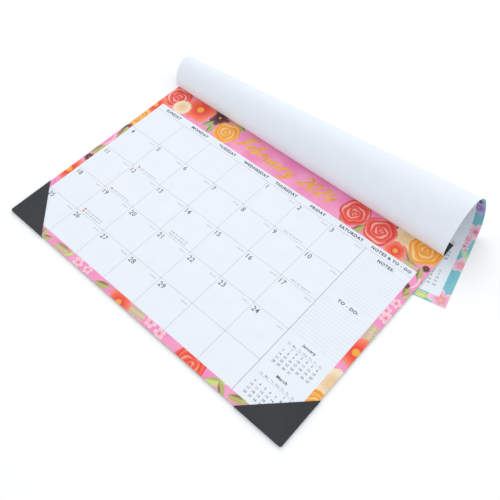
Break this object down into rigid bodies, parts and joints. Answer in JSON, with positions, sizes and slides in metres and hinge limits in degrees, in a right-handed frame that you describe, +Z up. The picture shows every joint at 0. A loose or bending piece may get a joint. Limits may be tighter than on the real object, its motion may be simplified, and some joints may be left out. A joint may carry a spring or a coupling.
{
  "type": "flip desk calendar",
  "caption": "Landscape desk pad calendar with headband and corner pockets; the finished month leaf is rolled back over the top and tucked under the pad.",
  "frame": {"origin": "on the desk, under the middle of the pad's bound edge, on the tucked leaf's underside", "axes": "+X to the right along the pad, +Y away from the user towards the bound edge, +Z up"},
  "size_m": [0.4692, 0.3452, 0.0671],
  "materials": {
    "chipboard": "matte",
    "leatherette": "fine embossed matte",
    "padding_glue": "dull",
    "month_paper": "uncoated, printed on one side",
    "january_paper": "uncoated, printed on one side, plain white back"
  },
  "bodies": {
    "pad": {"backing_board": "chipboard", "headband": "leatherette", "padding_compound": "padding_glue", "corner_pocket_left": "leatherette", "corner_pocket_right": "leatherette", "december_margin": "month_paper", "november_margin": "month_paper", "october_margin": "month_paper", "september_margin": "month_paper", "august_margin": "month_paper", "july_margin": "month_paper", "june_margin": "month_paper", "may_margin": "month_paper", "april_margin": "month_paper", "march_margin": "month_paper", "february_margin": "month_paper", "january_margin": "january_paper"},
    "december_leaf": {"december_leaf": "month_paper"},
    "november_leaf": {"november_leaf": "month_paper"},
    "october_leaf": {"october_leaf": "month_paper"},
    "september_leaf": {"september_leaf": "month_paper"},
    "august_leaf": {"august_leaf": "month_paper"},
    "july_leaf": {"july_leaf": "month_paper"},
    "june_leaf": {"june_leaf": "month_paper"},
    "may_leaf": {"may_leaf": "month_paper"},
    "april_leaf": {"april_leaf": "month_paper"},
    "march_leaf": {"march_leaf": "month_paper"},
    "february_leaf_1": {"february_leaf_1": "month_paper"},
    "february_leaf_2": {"february_leaf_2": "month_paper"},
    "february_leaf_3": {"february_leaf_3": "month_paper"},
    "january_leaf_1": {"january_leaf_1": "january_paper"},
    "january_leaf_2": {"january_leaf_2": "january_paper"},
    "january_leaf_3": {"january_leaf_3": "january_paper"},
    "january_leaf_4": {"january_leaf_4": "january_paper"},
    "january_leaf_5": {"january_leaf_5": "january_paper"},
    "january_leaf_6": {"january_leaf_6": "january_paper"},
    "january_leaf_7": {"january_leaf_7": "january_paper"},
    "january_leaf_8": {"january_leaf_8": "january_paper"}
  },
  "joints": [
    {"name": "december_lift", "type": "hinge", "parent": "pad", "child": "december_leaf", "pos_m": [0, -0.0206, 0.00311], "axis": [-1, 0, 0], "range_deg": [0, 2.2]},
    {"name": "november_lift", "type": "hinge", "parent": "december_leaf", "child": "november_leaf", "pos_m": [0, -0.0206, 0.00311], "axis": [-1, 0, 0], "range_deg": [0, 2.2]},
    {"name": "october_lift", "type": "hinge", "parent": "november_leaf", "child": "october_leaf", "pos_m": [0, -0.0206, 0.00311], "axis": [-1, 0, 0], "range_deg": [0, 2.2]},
    {"name": "september_lift", "type": "hinge", "parent": "october_leaf", "child": "september_leaf", "pos_m": [0, -0.0206, 0.00311], "axis": [-1, 0, 0], "range_deg": [0, 2.2]},
    {"name": "august_lift", "type": "hinge", "parent": "september_leaf", "child": "august_leaf", "pos_m": [0, -0.0206, 0.00311], "axis": [-1, 0, 0], "range_deg": [0, 2.2]},
    {"name": "july_lift", "type": "hinge", "parent": "august_leaf", "child": "july_leaf", "pos_m": [0, -0.0206, 0.00311], "axis": [-1, 0, 0], "range_deg": [0, 2.2]},
    {"name": "june_lift", "type": "hinge", "parent": "july_leaf", "child": "june_leaf", "pos_m": [0, -0.0206, 0.00311], "axis": [-1, 0, 0], "range_deg": [0, 2.2]},
    {"name": "may_lift", "type": "hinge", "parent": "june_leaf", "child": "may_leaf", "pos_m": [0, -0.0206, 0.00311], "axis": [-1, 0, 0], "range_deg": [0, 2.2]},
    {"name": "april_lift", "type": "hinge", "parent": "may_leaf", "child": "april_leaf", "pos_m": [0, -0.0206, 0.00311], "axis": [-1, 0, 0], "range_deg": [0, 2.2]},
    {"name": "march_lift", "type": "hinge", "parent": "april_leaf", "child": "march_leaf", "pos_m": [0, -0.0206, 0.00311], "axis": [-1, 0, 0], "range_deg": [0, 2.2]},
    {"name": "february_lift", "type": "hinge", "parent": "march_leaf", "child": "february_leaf_1", "pos_m": [0, -0.0206, 0.00311], "axis": [-1, 0, 0], "range_deg": [0, 20]},
    {"name": "february_bend_1", "type": "hinge", "parent": "february_leaf_1", "child": "february_leaf_2", "pos_m": [0, -0.1132, 0.00304], "axis": [-1, 0, 0], "range_deg": [0, 75]},
    {"name": "february_bend_2", "type": "hinge", "parent": "february_leaf_2", "child": "february_leaf_3", "pos_m": [0, -0.205, 0.00304], "axis": [-1, 0, 0], "range_deg": [0, 75]},
    {"name": "january_curl_1", "type": "hinge", "parent": "pad", "child": "january_leaf_1", "pos_m": [0, -0.0186, 0.00326], "axis": [-1, 0, 0], "range_deg": [-43.3, 0]},
    {"name": "january_curl_2", "type": "hinge", "parent": "january_leaf_1", "child": "january_leaf_2", "pos_m": [0, -0.02373, 0.00844], "axis": [-1, 0.0062, -0.0062], "range_deg": [-46, 0]},
    {"name": "january_curl_3", "type": "hinge", "parent": "january_leaf_2", "child": "january_leaf_3", "pos_m": [0.00006, -0.02364, 0.03127], "axis": [-0.9994, 0.0061, -0.0336], "range_deg": [-46, 0]},
    {"name": "january_curl_4", "type": "hinge", "parent": "january_leaf_3", "child": "january_leaf_4", "pos_m": [0.00059, -0.00097, 0.05386], "axis": [-0.9979, -0.0211, -0.0607], "range_deg": [-46, 0]},
    {"name": "january_curl_5", "type": "hinge", "parent": "january_leaf_4", "child": "january_leaf_5", "pos_m": [0.00141, 0.01427, 0.05389], "axis": [-0.9974, -0.0393, -0.0606], "range_deg": [-46, 0]},
    {"name": "january_curl_6", "type": "hinge", "parent": "january_leaf_5", "child": "january_leaf_6", "pos_m": [0.0034, 0.02735, 0.04096], "axis": [-0.9975, -0.0549, -0.045], "range_deg": [-46, 0]},
    {"name": "january_curl_7", "type": "hinge", "parent": "january_leaf_6", "child": "january_leaf_7", "pos_m": [0.00842, 0.02758, 0.00977], "axis": [-0.9985, -0.0549, -0.0077], "range_deg": [-46, 0]},
    {"name": "january_unroll", "type": "hinge", "parent": "january_leaf_7", "child": "january_leaf_8", "pos_m": [0.01114, 0.01798, 0.00004], "axis": [-0.9989, -0.0472, 0], "range_deg": [-44.95, 0]}
  ],
  "couplings": [
    {"joint": "february_bend_1", "follows": "february_lift", "ratio": 3.75},
    {"joint": "february_bend_2", "follows": "february_lift", "ratio": 3.75},
    {"joint": "january_curl_1", "follows": "january_unroll", "ratio": 0.94105},
    {"joint": "january_curl_2", "follows": "january_unroll", "ratio": 0.99933},
    {"joint": "january_curl_3", "follows": "january_unroll", "ratio": 0.99933},
    {"joint": "january_curl_4", "follows": "january_unroll", "ratio": 0.99933},
    {"joint": "january_curl_5", "follows": "january_unroll", "ratio": 0.99933},
    {"joint": "january_curl_6", "follows": "january_unroll", "ratio": 0.99933},
    {"joint": "january_curl_7", "follows": "january_unroll", "ratio": 0.99933}
  ]
}
